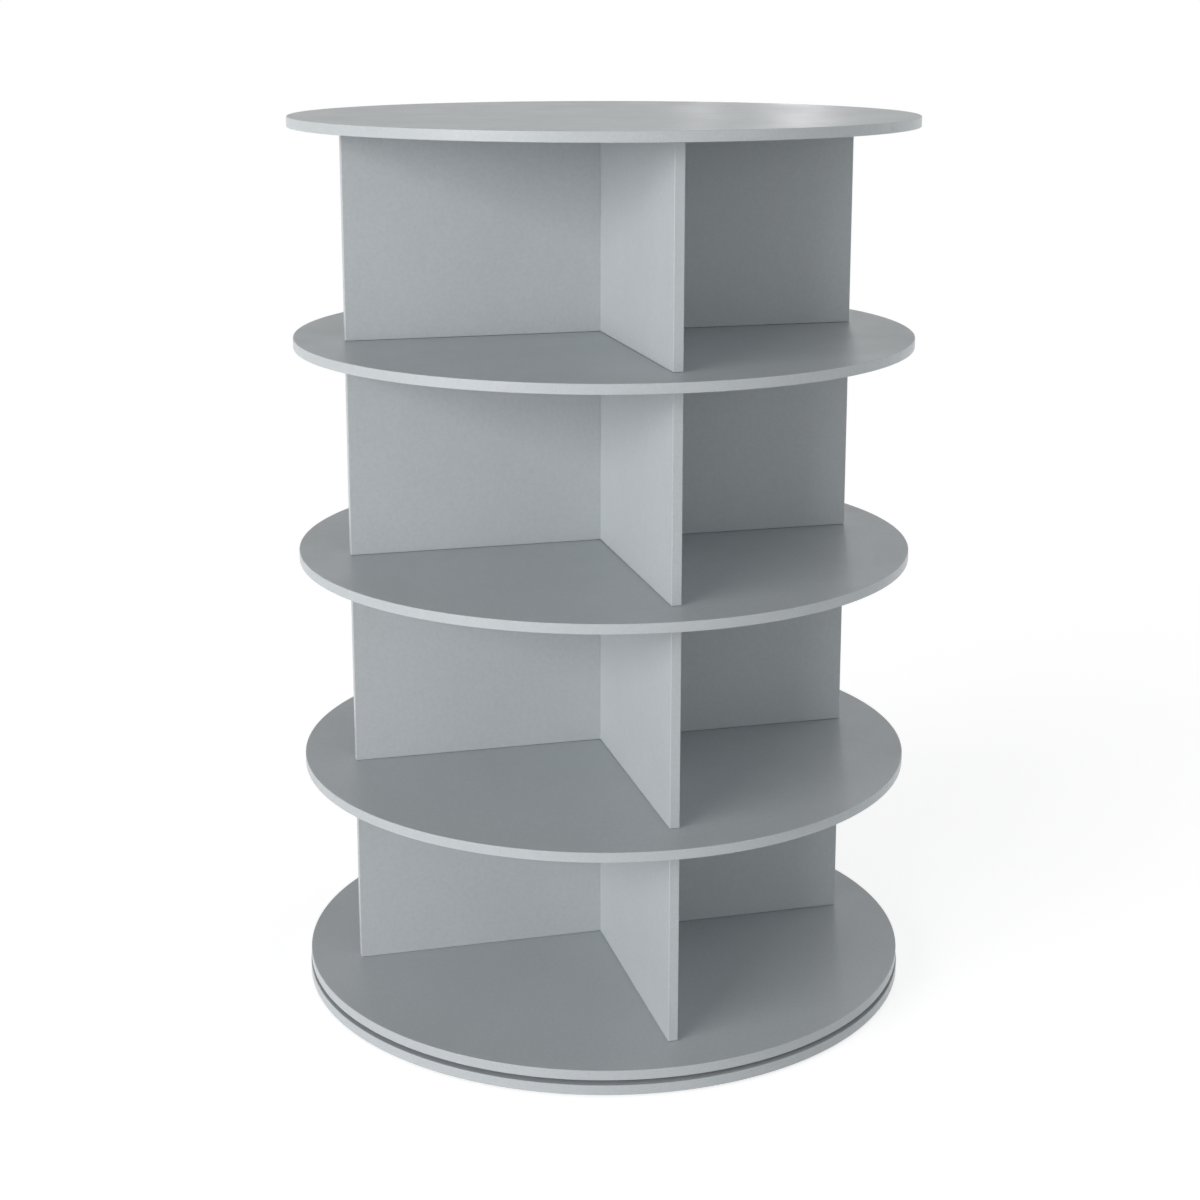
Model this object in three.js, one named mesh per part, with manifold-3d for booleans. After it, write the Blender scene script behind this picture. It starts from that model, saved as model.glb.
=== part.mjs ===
// A rotating shoe tower: four open tiers on a round turntable that spins on a ball bearing ring.
// Millimetres, +Z up. The origin is on the floor, on the axis that the tower turns about.

import * as THREE from "three";
import { mergeVertices } from "three/addons/utils/BufferGeometryUtils.js";
import Module from "manifold-3d";

const wasm = await Module();
wasm.setup();

// Gaps between pieces
const seat_gap = 0.3;
const running_gap = 0.3;
const overrun = 5;

// Round boards
const board_diameter = 750;
const board_thickness = 12;
const base_lip = 1;
const base_thickness = 12;
const edge_chamfer = 0.8;

// Tiers
const tier_count = 4;
const tier_height = 248;
const arm_setback = 59;
const panel_thickness = 12;
const panel_edge_round = 1;

// Pads under the base
const pad_count = 4;
const pad_diameter = 34;
const pad_thickness = 3;
const pad_chamfer = 0.6;
const pad_inset = 56;

// Bearing ring
const ball_count = 12;
const ball_diameter = 4;
const ball_circle_radius = 125;
const race_land = 1.55;
const ring_offset = 0.8;
const ring_wall_gap = 1.6;
const ring_wall = 5.2;
const flange_width = 12;
const flange_thickness = 2.5;
const cage_thickness = 1;
const recess_depth = 3;
const recess_margin = 1;
const access_hole_diameter = 16;

// Screws through the ring's flanges
const ring_screw_count = 3;
const ring_screw_diameter = 3.5;
const ring_screw_head_diameter = 6.8;
const ring_screw_bite_share = 0.7;

// Screws through the turntable into the lowest cross
const cross_screw_diameter = 4.5;
const cross_screw_head_diameter = 8.6;
const cross_screw_bite = 34;
const point_length_share = 1.2;

// Dowels
const fastener_inset = 116;
const dowel_diameter = 6;
const dowel_bite = 19;
const dowel_chamfer = 0.7;
const top_dowel_bite_share = 0.6;

// Facets round a circle
const board_facets = 84;
const ring_facets = 60;
const groove_facets = 4;
const pad_facets = 16;
const ball_facets = 8;
const ball_rings = 6;
const round_facets = 10;
const corner_facets = 2;

// Radii of the boards and what stands on them
const board_radius = board_diameter / 2;
const base_radius = board_radius + base_lip;
const arm_length = board_radius - arm_setback;
const fastener_radius = arm_length - fastener_inset;
const pad_circle_radius = base_radius - pad_inset;

// Heights, from the floor up
const base_bottom = pad_thickness + seat_gap;
const base_top = base_bottom + base_thickness;
const bearing_height = ball_diameter + 2 * race_land + ring_offset;
const bearing_bottom = base_top - recess_depth + seat_gap;
const bearing_top = bearing_bottom + bearing_height;
const ball_height = (bearing_bottom + bearing_top) / 2;
const turntable_bottom = bearing_top + seat_gap;
const turntable_top = turntable_bottom + board_thickness;
const tier_pitch = tier_height + board_thickness + 2 * seat_gap;
const panelBottom = (tier) => turntable_top + seat_gap + (tier - 1) * tier_pitch;
const boardBottom = (level) => turntable_bottom + level * tier_pitch;

// Radii of the bearing
const ball_radius = ball_diameter / 2;
const groove_radius = ball_radius + running_gap;
const outer_wall_radius = ball_circle_radius + ring_wall_gap / 2;
const inner_wall_radius = ball_circle_radius - ring_wall_gap / 2;
const outer_flange_start = outer_wall_radius + ring_wall;
const inner_flange_start = inner_wall_radius - ring_wall;
const outer_flange_end = outer_flange_start + flange_width;
const inner_flange_end = inner_flange_start - flange_width;
const outer_screw_radius = outer_flange_start + flange_width / 2;
const inner_screw_radius = inner_flange_start - flange_width / 2;

// Materials
const satin = { roughness: 0.45, metalness: 0 };
const board_finish = new THREE.MeshStandardMaterial({ color: 0xa3aaae, ...satin });
const pad_rubber = new THREE.MeshStandardMaterial({ color: 0x2b2c2e, roughness: 0.9 });
const ring_alloy = new THREE.MeshStandardMaterial({ color: 0xc4c6c8, roughness: 0.35, metalness: 1 });
const ball_steel = new THREE.MeshStandardMaterial({ color: 0xd6d8da, roughness: 0.12, metalness: 1 });
const cage_plastic = new THREE.MeshStandardMaterial({ color: 0xe8e8e2, roughness: 0.6 });
const screw_steel = new THREE.MeshStandardMaterial({ color: 0xb9bbbd, roughness: 0.3, metalness: 1 });
const dowel_wood = new THREE.MeshStandardMaterial({ color: 0xcfae80, roughness: 0.7 });

// Closed solids

function solidOf(geometry) {
  geometry.deleteAttribute("normal");
  geometry.deleteAttribute("uv");
  const merged = mergeVertices(geometry);
  const corners = merged.index.array;
  const kept = [];
  for (let i = 0; i < corners.length; i += 3) {
    const [a, b, c] = corners.slice(i, i + 3);
    if (a !== b && b !== c && c !== a) kept.push(a, b, c);
  }
  return new wasm.Manifold(
    new wasm.Mesh({
      numProp: 3,
      vertProperties: new Float32Array(merged.attributes.position.array),
      triVerts: new Uint32Array(kept),
    }),
  );
}

function geometryOf(solid) {
  const made = solid.getMesh();
  const geometry = new THREE.BufferGeometry();
  geometry.setAttribute("position", new THREE.BufferAttribute(made.vertProperties, made.numProp));
  geometry.setIndex(new THREE.BufferAttribute(made.triVerts, 1));
  geometry.computeVertexNormals();
  return geometry;
}

// A profile of [radius, height] points, turned about the vertical axis
function turned(profile, facets) {
  const points = profile.map(([radius, height]) => new THREE.Vector2(radius, height));
  return solidOf(new THREE.LatheGeometry(points, facets).rotateX(Math.PI / 2));
}

function rod(radius, low, high, facets = round_facets) {
  return turned([[0, low], [radius, low], [radius, high], [0, high]], facets);
}

function placed(solid, x, y, turn = 0) {
  return solid.rotate([0, 0, THREE.MathUtils.radToDeg(turn)]).translate([x, y, 0]);
}

const around = (count, start = 0) =>
  Array.from({ length: count }, (_, i) => start + (2 * Math.PI * i) / count);

const spot = (radius, angle) => [radius * Math.cos(angle), radius * Math.sin(angle)];

const arm_angles = around(4);

function without(solid, cutters) {
  return cutters.reduce((left, cutter) => left.subtract(cutter), solid);
}

const tower = new THREE.Group();

function add(parent, name, solid, material) {
  const mesh = new THREE.Mesh(geometryOf(solid), material);
  mesh.name = name;
  parent.add(mesh);
}

// Screws, point down with the head's flat face at the height given

function screwProfile(top, length, radius, head_radius) {
  const head_depth = head_radius - radius;
  const point_length = radius * point_length_share;
  return [
    [0, top - length],
    [radius, top - length + point_length],
    [radius, top - head_depth],
    [head_radius, top],
    [0, top],
  ];
}

// The same screw with its sides moved out by the seat gap, run on past both ends, to cut its seat
function seatProfile(top, length, radius, head_radius) {
  const head_depth = head_radius - radius;
  const bore = radius + seat_gap;
  const mouth = head_radius + seat_gap;
  return [
    [0, top - length - seat_gap],
    [bore, top - length - seat_gap],
    [bore, top - head_depth],
    [mouth, top],
    [mouth, top + overrun],
    [0, top + overrun],
  ];
}

// Turned over about a height, so that what points down points up
const flipped = (profile, height) =>
  profile.map(([radius, z]) => [radius, 2 * height - z]).reverse();

// Round boards

function boardProfile(radius, bottom, thickness) {
  const top = bottom + thickness;
  return [
    [0, bottom],
    [radius - edge_chamfer, bottom],
    [radius, bottom + edge_chamfer],
    [radius, top - edge_chamfer],
    [radius - edge_chamfer, top],
    [0, top],
  ];
}

function dowelHoles(low, high) {
  return arm_angles.map((angle) =>
    placed(rod(dowel_diameter / 2 + seat_gap, low, high), ...spot(fastener_radius, angle)),
  );
}

// Bearing rings: a wall with a groove for the balls, and a flange for the screws

function grooveArc(side) {
  const half_angle = Math.acos(ring_wall_gap / 2 / groove_radius);
  return Array.from({ length: groove_facets + 1 }, (_, i) => {
    const angle = half_angle * ((2 * i) / groove_facets - 1);
    const reach = side * groove_radius * Math.cos(angle);
    return [ball_circle_radius + reach, ball_height + groove_radius * Math.sin(angle)];
  });
}

function outerRingProfile() {
  const top = bearing_top - ring_offset;
  const flange_top = bearing_bottom + flange_thickness;
  const groove = grooveArc(1).reverse();
  return [
    [outer_wall_radius, bearing_bottom],
    [outer_flange_end, bearing_bottom],
    [outer_flange_end, flange_top],
    [outer_flange_start, flange_top],
    [outer_flange_start, top],
    [outer_wall_radius, top],
    ...groove,
    [outer_wall_radius, bearing_bottom],
  ];
}

function innerRingProfile() {
  const bottom = bearing_bottom + ring_offset;
  const flange_bottom = bearing_top - flange_thickness;
  const groove = grooveArc(-1);
  return [
    [inner_flange_start, bottom],
    [inner_wall_radius, bottom],
    ...groove,
    [inner_wall_radius, bearing_top],
    [inner_flange_end, bearing_top],
    [inner_flange_end, flange_bottom],
    [inner_flange_start, flange_bottom],
    [inner_flange_start, bottom],
  ];
}

const ring_screw_angles = around(ring_screw_count, Math.PI / 6);
const ring_screw_sizes = [ring_screw_diameter / 2, ring_screw_head_diameter / 2];

const outer_screw_top = bearing_bottom + flange_thickness;
const outer_screw_length = flange_thickness + (base_thickness - recess_depth) * ring_screw_bite_share;
const outerScrew = (profile) =>
  turned(profile(outer_screw_top, outer_screw_length, ...ring_screw_sizes), round_facets);

const inner_screw_head = bearing_top - flange_thickness;
const inner_screw_length = flange_thickness + board_thickness * ring_screw_bite_share;
function innerScrew(profile) {
  const down = profile(inner_screw_head, inner_screw_length, ...ring_screw_sizes);
  return turned(flipped(down, inner_screw_head), round_facets);
}

const atOuterScrews = (solid) =>
  ring_screw_angles.map((angle) => placed(solid, ...spot(outer_screw_radius, angle)));
const atInnerScrews = (solid) =>
  ring_screw_angles.map((angle) => placed(solid, ...spot(inner_screw_radius, angle)));

// Screws up through the turntable, one in each arm of the lowest cross

const cross_screw_length = board_thickness + seat_gap + cross_screw_bite;
function crossScrew(profile) {
  const sizes = [cross_screw_diameter / 2, cross_screw_head_diameter / 2];
  const down = profile(turntable_bottom, cross_screw_length, ...sizes);
  return turned(flipped(down, turntable_bottom), round_facets);
}
const atCrossScrews = (solid) =>
  arm_angles.map((angle) => placed(solid, ...spot(fastener_radius, angle)));

// The fixed part: pads, base board and the ring that is screwed down to it

function addPads(body) {
  const radius = pad_diameter / 2;
  const pad = turned(
    [
      [0, 0],
      [radius - pad_chamfer, 0],
      [radius, pad_chamfer],
      [radius, pad_thickness],
      [0, pad_thickness],
    ],
    pad_facets,
  );
  around(pad_count, Math.PI / 4).forEach((angle, i) =>
    add(body, `pad_${i + 1}`, placed(pad, ...spot(pad_circle_radius, angle)), pad_rubber),
  );
}

function addBase(body) {
  const plain = turned(boardProfile(base_radius, base_bottom, base_thickness), board_facets);
  const floor = base_top - recess_depth;
  const recess = turned(
    [
      [inner_flange_end - recess_margin, floor],
      [outer_flange_end + recess_margin, floor],
      [outer_flange_end + recess_margin, base_top + overrun],
      [inner_flange_end - recess_margin, base_top + overrun],
      [inner_flange_end - recess_margin, floor],
    ],
    ring_facets,
  );
  const access = rod(access_hole_diameter / 2, base_bottom - overrun, base_top, pad_facets);
  const reach = placed(access, ...spot(inner_screw_radius, 0));
  const cutters = [recess, reach, ...atOuterScrews(outerScrew(seatProfile))];
  add(body, "base_board", without(plain, cutters), board_finish);
}

function addOuterRing(body) {
  const ring = turned(outerRingProfile(), ring_facets);
  add(body, "bearing_outer_ring", without(ring, atOuterScrews(outerScrew(seatProfile))), ring_alloy);
  atOuterScrews(outerScrew(screwProfile)).forEach((screw, i) =>
    add(body, `outer_ring_screw_${i + 1}`, screw, screw_steel),
  );
}

// The balls and the strip that keeps them apart

function addCage(body) {
  const half = bearing_height / 2 - ring_offset;
  const [near, far] = [-1, 1].map((side) => ball_circle_radius + (side * cage_thickness) / 2);
  const strip = turned(
    [
      [near, ball_height - half],
      [far, ball_height - half],
      [far, ball_height + half],
      [near, ball_height + half],
      [near, ball_height - half],
    ],
    ring_facets,
  );
  const pocket_geometry = new THREE.CylinderGeometry(
    groove_radius,
    groove_radius,
    cage_thickness + 2 * overrun,
    round_facets,
  );
  pocket_geometry.rotateZ(Math.PI / 2).translate(ball_circle_radius, 0, ball_height);
  const pocket = solidOf(pocket_geometry);
  const pockets = around(ball_count).map((angle) => placed(pocket, 0, 0, angle));
  add(body, "bearing_cage", without(strip, pockets), cage_plastic);
}

function addBalls(body) {
  const ball = new THREE.SphereGeometry(ball_radius, ball_facets, ball_rings);
  const solid = solidOf(ball.translate(ball_circle_radius, 0, ball_height));
  around(ball_count).forEach((angle, i) => {
    const number = String(i + 1).padStart(2, "0");
    add(body, `bearing_ball_${number}`, placed(solid, 0, 0, angle), ball_steel);
  });
}

// The part that turns: ring, turntable, and the tiers above it

function addInnerRing(body) {
  const ring = turned(innerRingProfile(), ring_facets);
  add(body, "bearing_inner_ring", without(ring, atInnerScrews(innerScrew(seatProfile))), ring_alloy);
  atInnerScrews(innerScrew(screwProfile)).forEach((screw, i) =>
    add(body, `inner_ring_screw_${i + 1}`, screw, screw_steel),
  );
}

function addTurntable(body) {
  const profile = boardProfile(board_radius, turntable_bottom, board_thickness);
  const plain = turned(profile, board_facets);
  const cutters = [
    ...atInnerScrews(innerScrew(seatProfile)),
    ...atCrossScrews(crossScrew(seatProfile)),
  ];
  add(body, "turntable_board", without(plain, cutters), board_finish);
  atCrossScrews(crossScrew(screwProfile)).forEach((screw, i) =>
    add(body, `cross_screw_${i + 1}`, screw, screw_steel),
  );
}

function addShelf(body, level) {
  const bottom = boardBottom(level);
  const plain = turned(boardProfile(board_radius, bottom, board_thickness), board_facets);
  const holes = dowelHoles(bottom - overrun, bottom + board_thickness + overrun);
  add(body, `shelf_${level}`, without(plain, holes), board_finish);
}

function addTop(body) {
  const bottom = boardBottom(tier_count);
  const plain = turned(boardProfile(board_radius, bottom, board_thickness), board_facets);
  const depth = board_thickness * top_dowel_bite_share + seat_gap;
  add(body, "top_board", without(plain, dowelHoles(bottom - overrun, bottom + depth)), board_finish);
}

// A panel from arm end to arm end, along X until it is turned. Both are slotted to half their height at
// the middle, the across panel from the top and the along panel from below, so that they cross.

function panelSolid(bottom) {
  const [x, y, r] = [arm_length, panel_thickness / 2, panel_edge_round];
  const plan = new THREE.Shape();
  plan.moveTo(-x + r, -y);
  plan.absarc(x - r, -y + r, r, -Math.PI / 2, 0);
  plan.absarc(x - r, y - r, r, 0, Math.PI / 2);
  plan.absarc(-x + r, y - r, r, Math.PI / 2, Math.PI);
  plan.absarc(-x + r, -y + r, r, Math.PI, (3 * Math.PI) / 2);
  const settings = { depth: tier_height, bevelEnabled: false, curveSegments: corner_facets };
  return solidOf(new THREE.ExtrudeGeometry(plan, settings).translate(0, 0, bottom));
}

function slotSolid(low, high) {
  const width = panel_thickness + 2 * seat_gap;
  const slot = new THREE.BoxGeometry(width, panel_thickness + 2 * overrun, high - low);
  return solidOf(slot.translate(0, 0, (low + high) / 2));
}

function panelCutters(tier) {
  const bottom = panelBottom(tier);
  const top = bottom + tier_height;
  const low_end = tier === 1 ? [] : dowelHoles(bottom - overrun, bottom + dowel_bite + seat_gap);
  const first_end = tier === 1 ? atCrossScrews(crossScrew(seatProfile)) : [];
  return [...low_end, ...first_end, ...dowelHoles(top - dowel_bite - seat_gap, top + overrun)];
}

function addCross(body, tier) {
  const bottom = panelBottom(tier);
  const top = bottom + tier_height;
  const middle = (bottom + top) / 2;
  const cutters = panelCutters(tier);
  const across_slot = slotSolid(middle - seat_gap / 2, top + overrun);
  const along_slot = placed(slotSolid(bottom - overrun, middle + seat_gap / 2), 0, 0, Math.PI / 2);
  const across = without(panelSolid(bottom), [across_slot, ...cutters]);
  const along = without(placed(panelSolid(bottom), 0, 0, Math.PI / 2), [along_slot, ...cutters]);
  add(body, `tier_${tier}_across_panel`, across, board_finish);
  add(body, `tier_${tier}_along_panel`, along, board_finish);
}

function dowelSolid(low, high) {
  const radius = dowel_diameter / 2;
  return turned(
    [
      [0, low],
      [radius - dowel_chamfer, low],
      [radius, low + dowel_chamfer],
      [radius, high - dowel_chamfer],
      [radius - dowel_chamfer, high],
      [0, high],
    ],
    round_facets,
  );
}

function addDowels(body, name, low, high) {
  const dowel = dowelSolid(low, high);
  arm_angles.forEach((angle, i) =>
    add(body, `${name}_${i + 1}`, placed(dowel, ...spot(fastener_radius, angle)), dowel_wood),
  );
}

function addAllDowels(body) {
  for (let level = 1; level < tier_count; level += 1) {
    const bottom = boardBottom(level);
    const low = bottom - seat_gap - dowel_bite;
    addDowels(body, `dowel_${level}`, low, bottom + board_thickness + seat_gap + dowel_bite);
  }
  const top_bottom = boardBottom(tier_count);
  const low = top_bottom - seat_gap - dowel_bite;
  addDowels(body, "top_dowel", low, top_bottom + board_thickness * top_dowel_bite_share);
}

const fixed = new THREE.Group();
const rolling = new THREE.Group();
const turning = new THREE.Group();
tower.add(fixed, rolling, turning);

addPads(fixed);
addBase(fixed);
addOuterRing(fixed);

addCage(rolling);
addBalls(rolling);

addInnerRing(turning);
addTurntable(turning);
for (let level = 1; level < tier_count; level += 1) addShelf(turning, level);
addTop(turning);
for (let tier = 1; tier <= tier_count; tier += 1) addCross(turning, tier);
addAllDowels(turning);

export default tower;
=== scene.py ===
"""Looks for the rotating shoe tower.

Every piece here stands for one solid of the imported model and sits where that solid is.
Lengths in the mesh code are millimetres in the model's frame, and MM turns them into metres.
Angles are degrees where a name says so, as in azimuth and degrees, and radians elsewhere.
"""

import math

import bmesh
import bpy
from mathutils import Matrix, Vector


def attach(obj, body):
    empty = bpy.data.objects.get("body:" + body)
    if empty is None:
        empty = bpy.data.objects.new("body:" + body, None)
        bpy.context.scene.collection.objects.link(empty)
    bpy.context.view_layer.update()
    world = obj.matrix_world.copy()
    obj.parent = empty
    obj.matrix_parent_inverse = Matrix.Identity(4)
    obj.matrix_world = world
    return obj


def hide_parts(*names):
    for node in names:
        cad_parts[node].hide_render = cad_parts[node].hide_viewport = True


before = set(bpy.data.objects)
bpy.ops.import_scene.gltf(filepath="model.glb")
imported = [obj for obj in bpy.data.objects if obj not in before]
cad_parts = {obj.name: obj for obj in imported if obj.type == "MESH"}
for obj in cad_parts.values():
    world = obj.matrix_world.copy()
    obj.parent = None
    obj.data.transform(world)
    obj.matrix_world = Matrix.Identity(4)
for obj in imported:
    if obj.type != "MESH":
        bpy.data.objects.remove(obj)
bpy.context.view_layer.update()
scene = bpy.context.scene
MM = 0.001

# Sizes with the values and names of the part's source

SEAT_GAP = 0.3
RUNNING_GAP = 0.3
BOARD_RADIUS = 375
BOARD_THICKNESS = 12
BASE_LIP = 1
TIER_COUNT = 4
TIER_HEIGHT = 248
ARM_SETBACK = 59
PAD_COUNT = 4
PAD_RADIUS = 17
PAD_THICKNESS = 3
PAD_INSET = 56
BALL_COUNT = 12
BALL_RADIUS = 2
BALL_CIRCLE = 125
RACE_LAND = 1.55
RING_OFFSET = 0.8
RING_WALL_GAP = 1.6
RING_WALL = 5.2
FLANGE_WIDTH = 12
FLANGE_THICKNESS = 2.5
CAGE_THICKNESS = 1
RECESS_DEPTH = 3
RECESS_MARGIN = 1
ACCESS_HOLE_RADIUS = 8
RING_SCREW_RADIUS = 1.75
RING_SCREW_HEAD = 3.4
RING_SCREW_BITE_SHARE = 0.7
CROSS_SCREW_RADIUS = 2.25
CROSS_SCREW_HEAD = 4.3
CROSS_SCREW_BITE = 34
FASTENER_INSET = 116
DOWEL_RADIUS = 3
DOWEL_BITE = 19
DOWEL_CHAMFER = 0.7
TOP_DOWEL_BITE_SHARE = 0.6

# Sizes that follow from those

BASE_RADIUS = BOARD_RADIUS + BASE_LIP
ARM_LENGTH = BOARD_RADIUS - ARM_SETBACK
FASTENER_CIRCLE = ARM_LENGTH - FASTENER_INSET
PAD_CIRCLE = BASE_RADIUS - PAD_INSET
BASE_BOTTOM = PAD_THICKNESS + SEAT_GAP
BASE_TOP = BASE_BOTTOM + BOARD_THICKNESS
RECESS_FLOOR = BASE_TOP - RECESS_DEPTH
BEARING_BOTTOM = RECESS_FLOOR + SEAT_GAP
BEARING_TOP = BEARING_BOTTOM + 2 * (BALL_RADIUS + RACE_LAND) + RING_OFFSET
BALL_HEIGHT = (BEARING_BOTTOM + BEARING_TOP) / 2
POCKET_RADIUS = BALL_RADIUS + RUNNING_GAP
OUTER_WALL = BALL_CIRCLE + RING_WALL_GAP / 2
INNER_WALL = BALL_CIRCLE - RING_WALL_GAP / 2
OUTER_FLANGE = OUTER_WALL + RING_WALL
INNER_FLANGE = INNER_WALL - RING_WALL
OUTER_RIM = OUTER_FLANGE + FLANGE_WIDTH
INNER_RIM = INNER_FLANGE - FLANGE_WIDTH
OUTER_SCREW_CIRCLE = OUTER_FLANGE + FLANGE_WIDTH / 2
INNER_SCREW_CIRCLE = INNER_FLANGE - FLANGE_WIDTH / 2
TURNTABLE_BOTTOM = BEARING_TOP + SEAT_GAP
TIER_PITCH = TIER_HEIGHT + BOARD_THICKNESS + 2 * SEAT_GAP

# Places of the crosses' arms and of the bearing's screws round the axis

ARM_DEGREES = (0, 90, 180, 270)
RING_SCREW_DEGREES = (30, 150, 270)

# Sizes of the fine detail that only this file has

EDGE_ROUND = 0.9
EDGE_BAND = 6
OVERRUN = 2
SCREW_PILOT = 1.7
CROSS_SCREW_PILOT = 2.0
DOWEL_BORE = DOWEL_RADIUS + 0.15
DOWEL_BORE_SPARE = 0.6
BOARD_SEGMENTS = 256
RING_SEGMENTS = 240
SCREW_SEGMENTS = 28


# Camera, at the photograph's place and angle


def make_camera(distance=2.53, height=1.192, azimuth=-14.7, pitch=0.2135, turn=0.00186):
    """Pitch is how far it looks down, and turn is how far it looks past the axis."""
    data = bpy.data.cameras.new("camera")
    data.sensor_width = 36
    data.lens = 62.9
    data.shift_y = -0.11
    data.clip_start = 0.05
    data.clip_end = 100
    camera = bpy.data.objects.new("camera", data)
    a = math.radians(azimuth)
    camera.location = (distance * math.sin(a), -distance * math.cos(a), height)
    camera.rotation_euler = (math.pi / 2 - pitch, 0, a + turn)
    scene.collection.objects.link(camera)
    scene.camera = camera


make_camera()


# Mesh building


def fillet(points, steps=4, support=0.25, closed=False):
    """Rounds the corners of a flat outline of (x, y, radius) points, with a support point on either side."""
    out = []
    for i, (x, y, radius) in enumerate(points):
        at_end = not closed and i in (0, len(points) - 1)
        if at_end or not radius:
            out.append((x, y))
            continue
        p = Vector((x, y))
        before = (Vector(points[i - 1][:2]) - p).normalized()
        after = (Vector(points[(i + 1) % len(points)][:2]) - p).normalized()
        half = math.acos(max(-1, min(1, before.dot(after)))) / 2
        reach = radius / math.tan(half)
        centre = p + (before + after).normalized() * (radius / math.sin(half))
        first = p + before * reach - centre
        last = p + after * reach - centre
        sweep = math.pi - 2 * half
        out.append(tuple(p + before * (reach + support)))
        for step in range(steps + 1):
            u = step / steps
            arm = first * math.sin((1 - u) * sweep) + last * math.sin(u * sweep)
            out.append(tuple(centre + arm / math.sin(sweep)))
        out.append(tuple(p + after * (reach + support)))
    return out


def loft(sections, closed=False):
    """Joins loops of points, each with as many as the last. An open run is capped at both ends."""
    bm = bmesh.new()
    rings = [[bm.verts.new(point) for point in section] for section in sections]
    count = len(rings[0])
    for i in range(len(rings) if closed else len(rings) - 1):
        low, high = rings[i], rings[(i + 1) % len(rings)]
        for k in range(count):
            n = (k + 1) % count
            bm.faces.new((low[k], low[n], high[n], high[k])).smooth = True
    if not closed:
        bm.faces.new(rings[0][::-1])
        bm.faces.new(rings[-1])
    bm.normal_update()
    return bm


def circle(radius, z, segments):
    """Points round the upright axis. The radius is a number, or a function of the angle."""
    points = []
    for k in range(segments):
        a = 2 * math.pi * k / segments
        r = radius(a) if callable(radius) else radius
        points.append((r * math.cos(a), r * math.sin(a), z))
    return points


def lathe(profile, segments, closed=False):
    """Turns (radius, height) points about the upright axis."""
    return loft([circle(r, z, segments) for r, z in profile], closed)


def rod(radius, low, high, segments=24):
    return lathe([(radius, low), (radius, high)], segments)


def shifted(bm, x=0, y=0, z=0, turn_degrees=0, flip=False):
    """Turned over about its own x axis if flip, then turned about z, then moved."""
    matrix = Matrix.Translation((x, y, z)) @ Matrix.Rotation(math.radians(turn_degrees), 4, "Z")
    if flip:
        matrix = matrix @ Matrix.Rotation(math.pi, 4, "X")
    bmesh.ops.transform(bm, matrix=matrix, verts=bm.verts)
    return bm


def spot(radius, degrees):
    a = math.radians(degrees)
    return radius * math.cos(a), radius * math.sin(a)


def mesh_of(bm, name):
    mesh = bpy.data.meshes.new(name)
    bm.to_mesh(mesh)
    bm.free()
    return mesh


def joined(parts):
    """One mesh of several that don't touch."""
    whole = bmesh.new()
    for part in parts:
        mesh = mesh_of(part, "part")
        whole.from_mesh(mesh)
        bpy.data.meshes.remove(mesh)
    return whole


def cut(bm, cutters, inner):
    """Takes the cutters out of bm. Walls that they leave get the material at place inner."""
    target = bpy.data.objects.new("target", mesh_of(bm, "target"))
    tool_bm = joined(cutters)
    for face in tool_bm.faces:
        face.material_index = inner
    tool = bpy.data.objects.new("tool", mesh_of(tool_bm, "tool"))
    for o in (target, tool):
        for _ in range(inner + 1):
            o.data.materials.append(None)
        scene.collection.objects.link(o)
    modifier = target.modifiers.new("cut", "BOOLEAN")
    modifier.operation = "DIFFERENCE"
    modifier.solver = "EXACT"
    modifier.object = tool
    bpy.context.view_layer.update()
    evaluated = target.evaluated_get(bpy.context.evaluated_depsgraph_get())
    result = bmesh.new()
    result.from_mesh(evaluated.to_mesh())
    evaluated.to_mesh_clear()
    for o in (target, tool):
        mesh = o.data
        bpy.data.objects.remove(o)
        bpy.data.meshes.remove(mesh)
    return result


def level_face(face):
    return abs(face.normal.z) > 0.999


def piece(node_name, bm, body, materials):
    """The finished piece that stands for one CAD node and rides on that node's body."""
    bmesh.ops.scale(bm, vec=(MM, MM, MM), verts=bm.verts)
    mesh = mesh_of(bm, node_name + "_look")
    for material in materials:
        mesh.materials.append(material)
    o = bpy.data.objects.new(node_name + "_look", mesh)
    scene.collection.objects.link(o)
    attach(o, body)
    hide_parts(node_name)


# Procedural materials

NOISE_LOW, NOISE_HIGH = 0.3, 0.7


def node(tree, kind, inputs=None, **settings):
    made = tree.nodes.new(kind)
    for key, value in settings.items():
        setattr(made, key, value)
    for key, value in (inputs or {}).items():
        if isinstance(value, bpy.types.NodeSocket):
            tree.links.new(value, made.inputs[key])
        else:
            made.inputs[key].default_value = value
    return made


def spread(tree, value, out_low=0.0, out_high=1.0, low=NOISE_LOW, high=NOISE_HIGH):
    """Maps low to high, which is the usual range of noise unless given, onto out_low to out_high."""
    inputs = {0: value, 1: low, 2: high, 3: out_low, 4: out_high}
    return node(tree, "ShaderNodeMapRange", inputs).outputs[0]


def maths(tree, operation, a, b):
    return node(tree, "ShaderNodeMath", {0: a, 1: b}, operation=operation).outputs[0]


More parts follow.
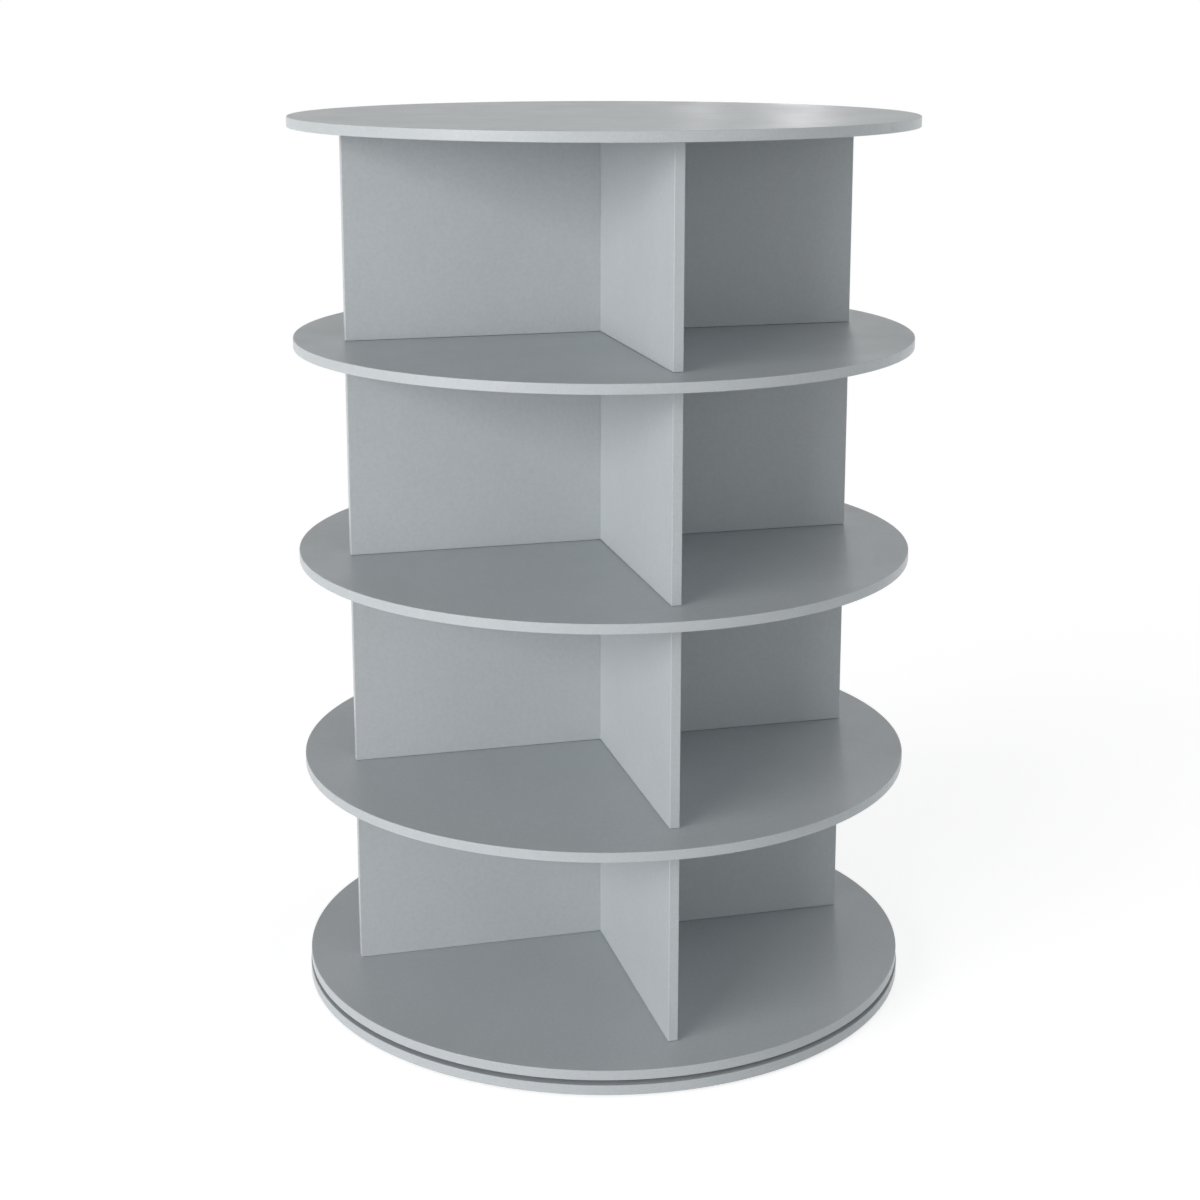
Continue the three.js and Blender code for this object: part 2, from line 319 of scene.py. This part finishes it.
class Finish:
    """A material in the making, with its shader's plain values set and the object's own coordinates."""

    def __init__(self, name, **settings):
        self.material = bpy.data.materials.new(name)
        self.material.use_nodes = True
        self.tree = self.material.node_tree
        self.shader = self.tree.nodes["Principled BSDF"]
        for key, value in settings.items():
            self.shader.inputs[key.replace("_", " ")].default_value = value
        self.place = node(self.tree, "ShaderNodeTexCoord").outputs["Object"]

    def drive(self, **sockets):
        """Links values that vary over the surface to the shader's sockets."""
        for key, value in sockets.items():
            self.tree.links.new(value, self.shader.inputs[key.replace("_", " ")])

    def noise(self, scale, detail=3.0, roughness=0.55, stretch=None, place=None):
        if place is None:
            place = self.place
        if stretch:
            place = node(self.tree, "ShaderNodeMapping", {"Vector": place, "Scale": stretch}).outputs[0]
        inputs = {"Vector": place, "Scale": scale, "Detail": detail, "Roughness": roughness}
        return node(self.tree, "ShaderNodeTexNoise", inputs).outputs["Fac"]

    def spread(self, value, *out, **span):
        return spread(self.tree, value, *out, **span)

    def add(self, a, b):
        return maths(self.tree, "ADD", a, b)

    def mixed(self, share, a, b):
        return node(self.tree, "ShaderNodeMix", {0: share, 6: a, 7: b}, data_type="RGBA").outputs[2]

    def bump(self, height, distance, under=None):
        inputs = {"Height": height, "Distance": distance, "Strength": 1.0}
        if under is not None:
            inputs["Normal"] = under
        return node(self.tree, "ShaderNodeBump", inputs).outputs["Normal"]


def tone(colour, share):
    return tuple(channel * share for channel in colour) + (1.0,)


def board_finish(name, colour, roughness, specular, peel, peel_depth, contrast, shares):
    """Satin lacquered board with orange peel. The shares are of drift, mottling and stipple in its tone."""
    finish = Finish(name, Specular_IOR_Level=specular)
    drift_share, mottle_share, stipple_share = shares
    drift = finish.spread(finish.noise(7.0, detail=4.0), 0, drift_share)
    mottle = finish.spread(finish.noise(210.0, roughness=0.6), 0, mottle_share)
    stipple = finish.spread(finish.noise(760.0, roughness=0.7), 0, stipple_share)
    blend = finish.add(finish.add(drift, mottle), stipple)
    colours = finish.mixed(blend, tone(colour, 1 - contrast), tone(colour, 1 + contrast))
    patches = finish.spread(finish.noise(18.0, detail=5.0, roughness=0.6), roughness - 0.04, roughness + 0.04)
    glints = finish.spread(finish.noise(900.0, detail=2.0, roughness=0.6), -0.04, 0.04)
    fine = finish.bump(finish.noise(1500.0, detail=2.0, roughness=0.6), 0.00003)
    surface = finish.bump(finish.noise(peel, detail=2.0), peel_depth, under=fine)
    finish.drive(Base_Color=colours, Roughness=finish.add(patches, glints), Normal=surface)
    return finish.material


def core_board():
    """Raw pressed board, seen inside bores and the routed recess."""
    finish = Finish("board_core", Specular_IOR_Level=0.2)
    chips = finish.noise(420.0, detail=6.0, roughness=0.7, stretch=(1, 1, 2.5))
    colours = finish.mixed(finish.spread(chips), (0.30, 0.19, 0.10, 1), (0.52, 0.37, 0.22, 1))
    surface = finish.bump(chips, 0.0003)
    finish.drive(Base_Color=colours, Roughness=finish.spread(chips, 0.75, 0.92), Normal=surface)
    return finish.material


def pad_rubber():
    finish = Finish("pad_rubber", Specular_IOR_Level=0.3)
    dust = finish.noise(90.0, detail=5.0, roughness=0.65)
    share = finish.spread(dust, low=0.35, high=0.75)
    colours = finish.mixed(share, (0.022, 0.022, 0.024, 1), (0.050, 0.050, 0.050, 1))
    surface = finish.bump(finish.noise(1400.0), 0.00008)
    finish.drive(Base_Color=colours, Roughness=finish.spread(dust, 0.68, 0.88), Normal=surface)
    return finish.material


def turned_metal(name, colour, roughness, depth):
    """Metal with fine lines that run round the upright axis, and a little dulling in patches."""
    finish = Finish(name, Metallic=1.0)
    parts = node(finish.tree, "ShaderNodeSeparateXYZ", {0: finish.place}).outputs
    flat = node(finish.tree, "ShaderNodeCombineXYZ", {0: parts[0], 1: parts[1]}).outputs[0]
    radius = node(finish.tree, "ShaderNodeVectorMath", {0: flat}, operation="LENGTH").outputs["Value"]
    along = node(finish.tree, "ShaderNodeCombineXYZ", {0: radius, 1: parts[2]}).outputs[0]
    lines = finish.noise(1700.0, detail=5.0, roughness=0.75, place=along)
    patches = finish.noise(60.0, detail=4.0)
    blend = finish.add(finish.spread(lines, 0, 0.6), finish.spread(patches, 0, 0.4))
    colours = finish.mixed(blend, tone(colour, 0.8), tone(colour, 1.12))
    rough = finish.add(finish.spread(lines, 0, 0.14), finish.spread(patches, 0, 0.1))
    finish.drive(Base_Color=colours, Roughness=finish.add(rough, roughness), Normal=finish.bump(lines, depth))
    return finish.material


def plated_steel():
    finish = Finish("screw_zinc", Metallic=1.0)
    bloom = finish.noise(260.0, detail=5.0, roughness=0.65)
    colours = finish.mixed(finish.spread(bloom), (0.50, 0.52, 0.55, 1), (0.71, 0.71, 0.69, 1))
    surface = finish.bump(finish.noise(2600.0), 0.00002)
    finish.drive(Base_Color=colours, Roughness=finish.spread(bloom, 0.22, 0.42), Normal=surface)
    return finish.material


def polished_steel():
    finish = Finish("ball_steel", Metallic=1.0)
    film = finish.noise(700.0, detail=4.0, roughness=0.6)
    colours = finish.mixed(finish.spread(film), (0.72, 0.73, 0.74, 1), (0.83, 0.84, 0.85, 1))
    finish.drive(Base_Color=colours, Roughness=finish.spread(film, 0.05, 0.14))
    return finish.material


def moulded_nylon():
    finish = Finish("cage_nylon", Specular_IOR_Level=0.45)
    flow = finish.noise(55.0, detail=4.0, roughness=0.6, stretch=(1, 1, 4))
    colours = finish.mixed(finish.spread(flow), (0.76, 0.76, 0.71, 1), (0.86, 0.86, 0.83, 1))
    surface = finish.bump(finish.noise(1900.0, detail=2.0), 0.00002)
    finish.drive(Base_Color=colours, Roughness=finish.spread(flow, 0.42, 0.58), Normal=surface)
    return finish.material


def beech():
    """Pale wood with its fibres upright and the short dark flecks of beech."""
    finish = Finish("dowel_beech", Specular_IOR_Level=0.25)
    fibres = finish.noise(1100.0, detail=5.0, roughness=0.65, stretch=(1, 1, 0.06))
    flecks = finish.noise(700.0, detail=2.0, roughness=0.5, stretch=(1, 1, 0.22))
    plain = finish.mixed(finish.spread(fibres), (0.50, 0.34, 0.18, 1), (0.70, 0.53, 0.33, 1))
    fleck_share = finish.spread(flecks, 0, 0.7, low=0.62, high=0.70)
    colours = finish.mixed(fleck_share, plain, (0.28, 0.16, 0.08, 1))
    surface = finish.bump(fibres, 0.0001)
    finish.drive(Base_Color=colours, Roughness=finish.spread(fibres, 0.55, 0.75), Normal=surface)
    return finish.material


BOARD_COLOUR = (0.431, 0.462, 0.480)
board_face = board_finish(
    "board_satin",
    BOARD_COLOUR,
    roughness=0.39,
    specular=0.18,
    peel=240.0,
    peel_depth=0.0001,
    contrast=0.07,
    shares=(0.25, 0.5, 0.25),
)
board_edge = board_finish(
    "board_edge_band",
    BOARD_COLOUR,
    roughness=0.30,
    specular=0.22,
    peel=1000.0,
    peel_depth=0.00022,
    contrast=0.1,
    shares=(0.1, 0.2, 0.7),
)
FACE, EDGE, CORE = 0, 1, 2
BOARD_MATERIALS = [board_face, board_edge, core_board()]
rubber = pad_rubber()
ring_metal = turned_metal("ring_aluminium", (0.60, 0.61, 0.62), roughness=0.24, depth=0.00005)
zinc = plated_steel()
steel = polished_steel()
nylon = moulded_nylon()
wood = beech()


# Round boards


def disc(radius, bottom, recess=None):
    """A board with an edge band. The recess is the (inner, outer) radius of a ring routed into its top."""
    top = bottom + BOARD_THICKNESS
    outline = [(radius - EDGE_BAND, bottom, 0), (radius, bottom, EDGE_ROUND), (radius, top, EDGE_ROUND)]
    if recess:
        inner, outer = recess
        floor = top - RECESS_DEPTH
        outline += [(outer, top, 0), (outer, floor, 0), (inner, floor, 0), (inner, top, 0)]
    else:
        outline += [(radius - EDGE_BAND, top, 0)]
    bm = lathe(fillet(outline), BOARD_SEGMENTS)
    for face in bm.faces:
        centre = face.calc_center_median()
        face.smooth = not level_face(face)
        if not level_face(face):
            on_rim = math.hypot(centre.x, centre.y) > radius - EDGE_BAND / 2
            face.material_index = EDGE if on_rim else CORE
        elif recess and abs(centre.z - floor) < 0.01:
            face.material_index = CORE
    return bm


def countersink(top, length, radius, head, play=0.12, over=4):
    """A bore with a cone at its mouth, open upwards from the height top."""
    bore, mouth = radius + play, head + play
    profile = [(bore, top - length), (bore, top - (head - radius)), (mouth, top), (mouth, top + over)]
    return lathe(profile, 32)


# Cross-head screws


def screw(length, radius, head, pitch):
    """A countersunk wood screw, point down, its head's flat face at height 0."""
    head_depth = head - radius
    core = radius * 0.7
    point_length = radius * 2.4
    thread_end = -head_depth - 0.8
    sections_per_turn = 8

    def thread(z):
        """One section of the thread, which tapers to the point and fades out below the head."""
        taper = min(1.0, (z + length) / point_length) ** 0.8
        fade = min(1.0, (thread_end - z) / pitch)

        def reach(a):
            phase = (z / pitch - a / (2 * math.pi)) % 1.0
            crest = max(0.0, 1 - abs(phase - 0.5) * 4)
            return (core + (radius - core) * crest * fade) * max(taper, 0.1)

        return circle(reach, z, SCREW_SEGMENTS)

    steps = int((thread_end + length) / pitch * sections_per_turn)
    heights = [-length + (thread_end + length) * i / steps for i in range(1, steps + 1)]
    tip = (0.12, -length)
    shank = [(core * 1.08, -head_depth - 0.4), (radius, -head_depth)]
    rim = [(head - 0.35, -0.38), (head, -0.2), (head - 0.12, 0)]
    sections = [circle(*tip, SCREW_SEGMENTS)]
    sections += [thread(z) for z in heights]
    sections += [circle(r, z, SCREW_SEGMENTS) for r, z in shank + rim]
    return cut(loft(sections), [cross_recess(head, head_depth)], 0)


def cross_recess(head, head_depth):
    """The tapered cross that a driver fits, as a cutter."""
    arm, half = head * 0.56, head * 0.13
    corners = [(arm, -half), (arm, half), (half, half), (half, arm), (-half, arm), (-half, half)]
    corners += [(-arm, half), (-arm, -half), (-half, -half), (-half, -arm), (half, -arm), (half, -half)]
    deep = [(x * 0.45, y * 0.45, -head_depth * 0.85) for x, y in corners]
    mouth = [(x * 1.12, y * 1.12, 0.3) for x, y in corners]
    return loft([deep, mouth])


def screws(prefix, body, bm, circle_radius, height, degrees=RING_SCREW_DEGREES, flip=False):
    """A copy of the screw at each angle, each turned so that no two recesses line up."""
    for i, angle in enumerate(degrees):
        turn = angle * 1.7 + 20 * i
        copy = shifted(bm.copy(), *spot(circle_radius, angle), height, turn, flip)
        piece(f"{prefix}_{i + 1}", copy, body, [zinc])
    bm.free()


# The fixed part


def make_base():
    access = rod(ACCESS_HOLE_RADIUS, BASE_BOTTOM - OVERRUN, BASE_TOP + OVERRUN, 48)
    tools = [shifted(access, INNER_SCREW_CIRCLE)]
    for degrees in RING_SCREW_DEGREES:
        pilot = rod(SCREW_PILOT, BASE_BOTTOM + 2.5, RECESS_FLOOR + OVERRUN)
        tools.append(shifted(pilot, *spot(OUTER_SCREW_CIRCLE, degrees)))
    bm = disc(BASE_RADIUS, BASE_BOTTOM, (INNER_RIM - RECESS_MARGIN, OUTER_RIM + RECESS_MARGIN))
    piece("base_board", cut(bm, tools, CORE), "base", BOARD_MATERIALS)


def make_pads():
    """Round rubber pads, with a ring moulded into the underside."""
    hollow = 0.5
    middle = [(4, hollow, 0), (9, hollow, 0)]
    moulded_ring = [(9.6, 0, 0.15), (13.6, 0, 0.15), (14.2, hollow, 0.1)]
    foot = [(15, hollow, 0.1), (15.5, 0, 0.1), (PAD_RADIUS, 0, 0.7), (PAD_RADIUS, PAD_THICKNESS, 0.3)]
    top = [(10, PAD_THICKNESS, 0)]
    for i in range(PAD_COUNT):
        bm = lathe(fillet(middle + moulded_ring + foot + top, steps=3, support=0.05), 64)
        for face in bm.faces:
            face.smooth = len(face.verts) == 4
        bm = shifted(bm, *spot(PAD_CIRCLE, 45 + 90 * i))
        piece(f"pad_{i + 1}", bm, "base", [rubber])


# The ball bearing ring


def groove(side, steps=14):
    """The arc that the balls run in, on the outer side for 1 and the inner side for -1."""
    half = math.acos(RING_WALL_GAP / 2 / POCKET_RADIUS)
    points = []
    for i in range(steps + 1):
        a = half * (2 * i / steps - 1)
        x = BALL_CIRCLE + side * POCKET_RADIUS * math.cos(a)
        points.append((x, BALL_HEIGHT + POCKET_RADIUS * math.sin(a), 0))
    return points


def ring(outline, tools):
    bm = lathe(fillet(outline, steps=2, support=0.1, closed=True), RING_SEGMENTS, closed=True)
    for face in bm.faces:
        face.smooth = not level_face(face)
    return cut(bm, tools, 0)


def make_bearing():
    flange_top = BEARING_BOTTOM + FLANGE_THICKNESS
    wall_top = BEARING_TOP - RING_OFFSET
    screw_sizes = (RING_SCREW_RADIUS, RING_SCREW_HEAD)
    outer = [(OUTER_WALL, BEARING_BOTTOM, 0.25), (OUTER_RIM, BEARING_BOTTOM, 0.4)]
    outer += [(OUTER_RIM, flange_top, 0.4), (OUTER_FLANGE, flange_top, 0.5)]
    outer += [(OUTER_FLANGE, wall_top, 0.4), (OUTER_WALL, wall_top, 0.25), *groove(1)[::-1]]
    tools = []
    for degrees in RING_SCREW_DEGREES:
        tools.append(shifted(countersink(flange_top, 5, *screw_sizes), *spot(OUTER_SCREW_CIRCLE, degrees)))
    piece("bearing_outer_ring", ring(outer, tools), "base", [ring_metal])

    flange_bottom = BEARING_TOP - FLANGE_THICKNESS
    wall_bottom = BEARING_BOTTOM + RING_OFFSET
    inner = [(INNER_FLANGE, wall_bottom, 0.4), (INNER_WALL, wall_bottom, 0.25), *groove(-1)]
    inner += [(INNER_WALL, BEARING_TOP, 0.25), (INNER_RIM, BEARING_TOP, 0.4)]
    inner += [(INNER_RIM, flange_bottom, 0.4), (INNER_FLANGE, flange_bottom, 0.5)]
    tools = []
    for degrees in RING_SCREW_DEGREES:
        seat = countersink(0, 5, *screw_sizes)
        tools.append(shifted(seat, *spot(INNER_SCREW_CIRCLE, degrees), flange_bottom, flip=True))
    piece("bearing_inner_ring", ring(inner, tools), "tower", [ring_metal])

    bite = (BOARD_THICKNESS - RECESS_DEPTH) * RING_SCREW_BITE_SHARE
    outer_screw = screw(FLANGE_THICKNESS + bite, *screw_sizes, pitch=1.2)
    screws("outer_ring_screw", "base", outer_screw, OUTER_SCREW_CIRCLE, flange_top)
    bite = BOARD_THICKNESS * RING_SCREW_BITE_SHARE
    inner_screw = screw(FLANGE_THICKNESS + bite, *screw_sizes, pitch=1.2)
    screws("inner_ring_screw", "tower", inner_screw, INNER_SCREW_CIRCLE, flange_bottom, flip=True)
    make_cage(wall_bottom, wall_top)
    make_balls()


def make_balls(rows=16):
    arc = [math.pi * (k / rows - 0.5) for k in range(rows + 1)]
    profile = [(max(0.02, BALL_RADIUS * math.cos(a)), BALL_RADIUS * math.sin(a)) for a in arc]
    for i in range(BALL_COUNT):
        bm = shifted(lathe(profile, 32), *spot(BALL_CIRCLE, 360 / BALL_COUNT * i), BALL_HEIGHT)
        piece(f"bearing_ball_{i + 1:02d}", bm, "ball_cage", [steel])


def make_cage(low, high, rows=8, steps=10, half_frame=3.6):
    """A thin ring with a round pocket for each ball. Each pocket has a square frame of mesh round it."""
    outer = BALL_CIRCLE + CAGE_THICKNESS / 2
    sector = 2 * math.pi / BALL_COUNT
    reach = half_frame / BALL_CIRCLE
    side = [low + (high - low) * k / rows for k in range(rows + 1)]
    across = [reach * (2 * k / rows - 1) for k in range(rows + 1)]
    frame_points = [(reach, z) for z in side[:-1]] + [(a, high) for a in across[::-1][:-1]]
    frame_points += [(-reach, z) for z in side[::-1][:-1]] + [(a, low) for a in across[:-1]]
    bm = bmesh.new()

    def corner(angle, z):
        return bm.verts.new((outer * math.cos(angle), outer * math.sin(angle), z))

    def loop_at(middle, share):
        """The pocket's edge for share 0, the frame for 1, and between them for a share between."""
        loop = []
        for a, z in frame_points:
            s, h = a * BALL_CIRCLE, z - BALL_HEIGHT
            k = share + (1 - share) * POCKET_RADIUS / math.hypot(s, h)
            loop.append(corner(middle + s * k / BALL_CIRCLE, BALL_HEIGHT + h * k))
        return loop

    for i in range(BALL_COUNT):
        middle = sector * i
        loops = [loop_at(middle, share) for share in (1.0, 0.5, 0.0)]
        for wide, narrow in zip(loops, loops[1:]):
            for k in range(len(wide)):
                n = (k + 1) % len(wide)
                bm.faces.new((wide[k], wide[n], narrow[n], narrow[k]))
        span = sector - 2 * reach
        for j in range(steps):
            a, b = middle + reach + span * j / steps, middle + reach + span * (j + 1) / steps
            for z, up in zip(side, side[1:]):
                bm.faces.new((corner(a, z), corner(b, z), corner(b, up), corner(a, up)))
    bmesh.ops.remove_doubles(bm, verts=bm.verts, dist=1e-4)
    bmesh.ops.recalc_face_normals(bm, faces=bm.faces)
    if sum(f.normal.dot(Vector((*f.calc_center_median()[:2], 0))) for f in bm.faces) < 0:
        bmesh.ops.reverse_faces(bm, faces=bm.faces)
    bm.normal_update()
    bmesh.ops.solidify(bm, geom=bm.faces[:], thickness=CAGE_THICKNESS)
    for face in bm.faces:
        face.smooth = True
    sharpen_edges(bm, 35)
    piece("bearing_cage", bm, "ball_cage", [nylon])


def sharpen_edges(bm, degrees):
    """Keeps apart the shading of faces that meet at more than this angle."""
    bm.normal_update()
    for edge in bm.edges:
        if len(edge.link_faces) == 2:
            edge.smooth = edge.calc_face_angle(0) < math.radians(degrees)


# The turning part


def board_bottom(level):
    """The underside of the turntable board for level 0, of a shelf, or of the top board for the last."""
    return TURNTABLE_BOTTOM + level * TIER_PITCH


def dowel_bores(low, high):
    return [shifted(rod(DOWEL_BORE, low, high), *spot(FASTENER_CIRCLE, degrees)) for degrees in ARM_DEGREES]


def make_turntable():
    bottom = board_bottom(0)
    tools = []
    for degrees in ARM_DEGREES:
        seat = countersink(0, BOARD_THICKNESS + OVERRUN, CROSS_SCREW_RADIUS, CROSS_SCREW_HEAD)
        tools.append(shifted(seat, *spot(FASTENER_CIRCLE, degrees), bottom, flip=True))
    for degrees in RING_SCREW_DEGREES:
        pilot = rod(SCREW_PILOT, bottom - 1, bottom + 9)
        tools.append(shifted(pilot, *spot(INNER_SCREW_CIRCLE, degrees)))
    made = cut(disc(BOARD_RADIUS, bottom), tools, CORE)
    piece("turntable_board", made, "tower", BOARD_MATERIALS)


def make_shelves():
    for level in range(1, TIER_COUNT):
        bottom = board_bottom(level)
        tools = dowel_bores(bottom - 1, bottom + BOARD_THICKNESS + 1)
        made = cut(disc(BOARD_RADIUS, bottom), tools, CORE)
        piece(f"shelf_{level}", made, "tower", BOARD_MATERIALS)


def make_top_board():
    bottom = board_bottom(TIER_COUNT)
    tools = dowel_bores(bottom - 1, bottom + BOARD_THICKNESS * TOP_DOWEL_BITE_SHARE + 0.4)
    made = cut(disc(BOARD_RADIUS, bottom), tools, CORE)
    piece("top_board", made, "tower", BOARD_MATERIALS)


def panel(bottom, along, lowest):
    """One panel of a cross, with a sharp slot through half its height, rounded edges and fastener bores."""
    top = bottom + TIER_HEIGHT
    slot = BOARD_THICKNESS / 2 + SEAT_GAP
    slot_end = (bottom + top) / 2 + (SEAT_GAP / 2 if along else -SEAT_GAP / 2)
    lower_left, lower_right = (-ARM_LENGTH, bottom), (ARM_LENGTH, bottom)
    upper_left, upper_right = (-ARM_LENGTH, top), (ARM_LENGTH, top)
    if along:
        notch = [(-slot, bottom), (-slot, slot_end), (slot, slot_end), (slot, bottom)]
        outline = [lower_left, *notch, lower_right, upper_right, upper_left]
    else:
        notch = [(slot, top), (slot, slot_end), (-slot, slot_end), (-slot, top)]
        outline = [lower_left, lower_right, upper_right, *notch, upper_left]
    bm = bmesh.new()
    front = bm.faces.new([bm.verts.new((x, -BOARD_THICKNESS / 2, z)) for x, z in outline])
    grown = bmesh.ops.extrude_face_region(bm, geom=[front])["geom"]
    back = [element for element in grown if isinstance(element, bmesh.types.BMVert)]
    bmesh.ops.translate(bm, vec=(0, BOARD_THICKNESS, 0), verts=back)
    bmesh.ops.recalc_face_normals(bm, faces=bm.faces)
    outer_edges = [edge for edge in bm.edges if any(abs(vert.co.x) > slot + SEAT_GAP for vert in edge.verts)]
    rounding = {"offset": EDGE_ROUND, "segments": 3, "profile": 0.5}
    bmesh.ops.bevel(bm, geom=outer_edges, affect="EDGES", clamp_overlap=True, **rounding)
    bm.normal_update()
    for face in bm.faces:
        flat = max(abs(c) for c in face.normal) > 0.9999 and face.calc_area() > 40
        face.smooth = not flat
        face.material_index = FACE if flat and abs(face.normal.y) > 0.9999 else EDGE
    tools = []
    dowel_depth = DOWEL_BITE + DOWEL_BORE_SPARE
    for x in (-FASTENER_CIRCLE, FASTENER_CIRCLE):
        if lowest:
            below = rod(CROSS_SCREW_PILOT, bottom - OVERRUN, bottom + CROSS_SCREW_BITE + 1)
        else:
            below = rod(DOWEL_BORE, bottom - OVERRUN, bottom + dowel_depth)
        tools.append(shifted(below, x))
        tools.append(shifted(rod(DOWEL_BORE, top - dowel_depth, top + OVERRUN), x))
    made = cut(bm, tools, CORE)
    return shifted(made, turn_degrees=90) if along else made


def make_panels():
    for tier in range(1, TIER_COUNT + 1):
        bottom = board_bottom(tier - 1) + BOARD_THICKNESS + SEAT_GAP
        for along, name in ((False, "across"), (True, "along")):
            made = panel(bottom, along, lowest=tier == 1)
            piece(f"tier_{tier}_{name}_panel", made, "tower", BOARD_MATERIALS)


def dowel(low, high):
    """A fluted dowel with chamfered ends."""
    end = DOWEL_RADIUS - DOWEL_CHAMFER
    land = 1.2

    def flutes(a):
        return DOWEL_RADIUS - 0.22 * max(0.0, math.cos(a * 14)) ** 3

    profile = [(end, low), (flutes, low + DOWEL_CHAMFER), (flutes, low + land)]
    profile += [(flutes, high - land), (flutes, high - DOWEL_CHAMFER), (end, high)]
    bm = lathe(profile, 84)
    for face in bm.faces:
        face.smooth = False
    return bm


def make_fasteners():
    length = BOARD_THICKNESS + SEAT_GAP + CROSS_SCREW_BITE
    cross_screw = screw(length, CROSS_SCREW_RADIUS, CROSS_SCREW_HEAD, pitch=1.9)
    screws("cross_screw", "tower", cross_screw, FASTENER_CIRCLE, TURNTABLE_BOTTOM, ARM_DEGREES, flip=True)
    bite = DOWEL_BITE + SEAT_GAP
    for level in range(1, TIER_COUNT + 1):
        bottom = board_bottom(level)
        at_top = level == TIER_COUNT
        reach = BOARD_THICKNESS * TOP_DOWEL_BITE_SHARE if at_top else BOARD_THICKNESS + bite
        prefix = "top_dowel" if at_top else f"dowel_{level}"
        for i, degrees in enumerate(ARM_DEGREES):
            bm = shifted(dowel(bottom - bite, bottom + reach), *spot(FASTENER_CIRCLE, degrees))
            piece(f"{prefix}_{i + 1}", bm, "tower", [wood])


make_base()
make_pads()
make_bearing()
make_turntable()
make_shelves()
make_top_board()
make_panels()
make_fasteners()


# Floor, world and lamps

LAMP_AIM_HEIGHT = 0.55


def grey(share):
    return (share, share, share, 1)


def seen_directly(tree):
    """1 for rays from the camera and for those that a gloss or glass sends on."""
    path = node(tree, "ShaderNodeLightPath").outputs
    first = maths(tree, "MAXIMUM", path["Is Camera Ray"], path["Is Glossy Ray"])
    return maths(tree, "MAXIMUM", first, path["Is Transmission Ray"])


def make_floor(half_width=30, drop=0.0002, plain=0.8, glow=0.725, shade=0.52, fade_start=1.0, fade_end=3.0):
    """A pale floor. Seen directly it is white, but for the tower's shadow, which fades out with distance."""
    bm = bmesh.new()
    bmesh.ops.create_grid(bm, x_segments=4, y_segments=4, size=half_width)
    floor = bpy.data.objects.new("floor", mesh_of(bm, "floor"))
    floor.location.z = -drop
    scene.collection.objects.link(floor)
    material = bpy.data.materials.new("floor_pale")
    material.use_nodes = True
    tree = material.node_tree
    tree.nodes.clear()
    lit = node(tree, "ShaderNodeBsdfDiffuse", {"Color": grey(plain)}).outputs[0]
    constant = node(tree, "ShaderNodeEmission", {"Color": grey(1), "Strength": glow}).outputs[0]
    dimmed = node(tree, "ShaderNodeBsdfDiffuse", {"Color": grey(shade)}).outputs[0]
    near = node(tree, "ShaderNodeAddShader", {0: constant, 1: dimmed}).outputs[0]
    white = node(tree, "ShaderNodeEmission", {"Color": grey(1), "Strength": 1.0}).outputs[0]
    place = node(tree, "ShaderNodeTexCoord").outputs["Object"]
    away = node(tree, "ShaderNodeVectorMath", {0: place}, operation="LENGTH").outputs["Value"]
    fade = spread(tree, away, low=fade_start, high=fade_end)
    seen = node(tree, "ShaderNodeMixShader", {0: fade, 1: near, 2: white}).outputs[0]
    both = node(tree, "ShaderNodeMixShader", {0: seen_directly(tree), 1: lit, 2: seen}).outputs[0]
    node(tree, "ShaderNodeOutputMaterial", {"Surface": both})
    floor.data.materials.append(material)


def make_world(level=0.53, overhead=0.95, falloff=4, colour=(0.985, 0.995, 1, 1)):
    """A pale room, white when seen directly. Its soft light is weaker overhead, by the given share."""
    world = bpy.data.worlds.new("studio")
    scene.world = world
    world.use_nodes = True
    tree = world.node_tree
    tree.nodes.clear()
    direction = node(tree, "ShaderNodeTexCoord").outputs["Generated"]
    upward = node(tree, "ShaderNodeSeparateXYZ", {0: direction}).outputs["Z"]
    height = maths(tree, "POWER", maths(tree, "MAXIMUM", upward, 0.0), falloff)
    strength = spread(tree, height, level, level * (1 - overhead), low=0.0, high=1.0)
    soft = node(tree, "ShaderNodeBackground", {"Color": colour, "Strength": strength}).outputs[0]
    white = node(tree, "ShaderNodeBackground", {"Color": grey(1), "Strength": 1.0}).outputs[0]
    both = node(tree, "ShaderNodeMixShader", {0: seen_directly(tree), 1: soft, 2: white}).outputs[0]
    node(tree, "ShaderNodeOutputWorld", {"Surface": both})


def lamp(name, azimuth, elevation, distance, size, level, colour=(1, 1, 1), glossy=True):
    """An area lamp aimed at the tower. Reflections don't show it if glossy is False.

    Level is the light that it alone gives a white surface facing it.
    """
    data = bpy.data.lights.new(name, "AREA")
    data.shape = "RECTANGLE"
    data.size, data.size_y = size
    data.energy = level * math.pi**2 * distance**2
    data.color = colour
    o = bpy.data.objects.new(name, data)
    a, e = math.radians(azimuth), math.radians(elevation)
    back = Vector((math.sin(a) * math.cos(e), -math.cos(a) * math.cos(e), math.sin(e)))
    o.location = Vector((0, 0, LAMP_AIM_HEIGHT)) + back * distance
    o.rotation_euler = back.to_track_quat("Z", "Y").to_euler()
    o.visible_camera = False
    o.visible_glossy = glossy
    scene.collection.objects.link(o)


make_floor()
make_world()
lamp("key", azimuth=-58, elevation=11, distance=9, size=(6.5, 4.4), level=0.9, colour=(1, 0.98, 0.97))
lamp("fill", azimuth=35, elevation=8, distance=6, size=(3, 3), level=0.09)
# Without gloss, because the far right end of the top board's rim would mirror it
lamp("side", azimuth=104, elevation=3, distance=7, size=(4, 3), level=0.36, glossy=False)
lamp("streak", azimuth=156.6, elevation=4, distance=4, size=(0.16, 2.2), level=0.019)
lamp("thin_streak", azimuth=161.0, elevation=4, distance=4, size=(0.06, 2.2), level=0.005)

scene.view_settings.view_transform = "Standard"
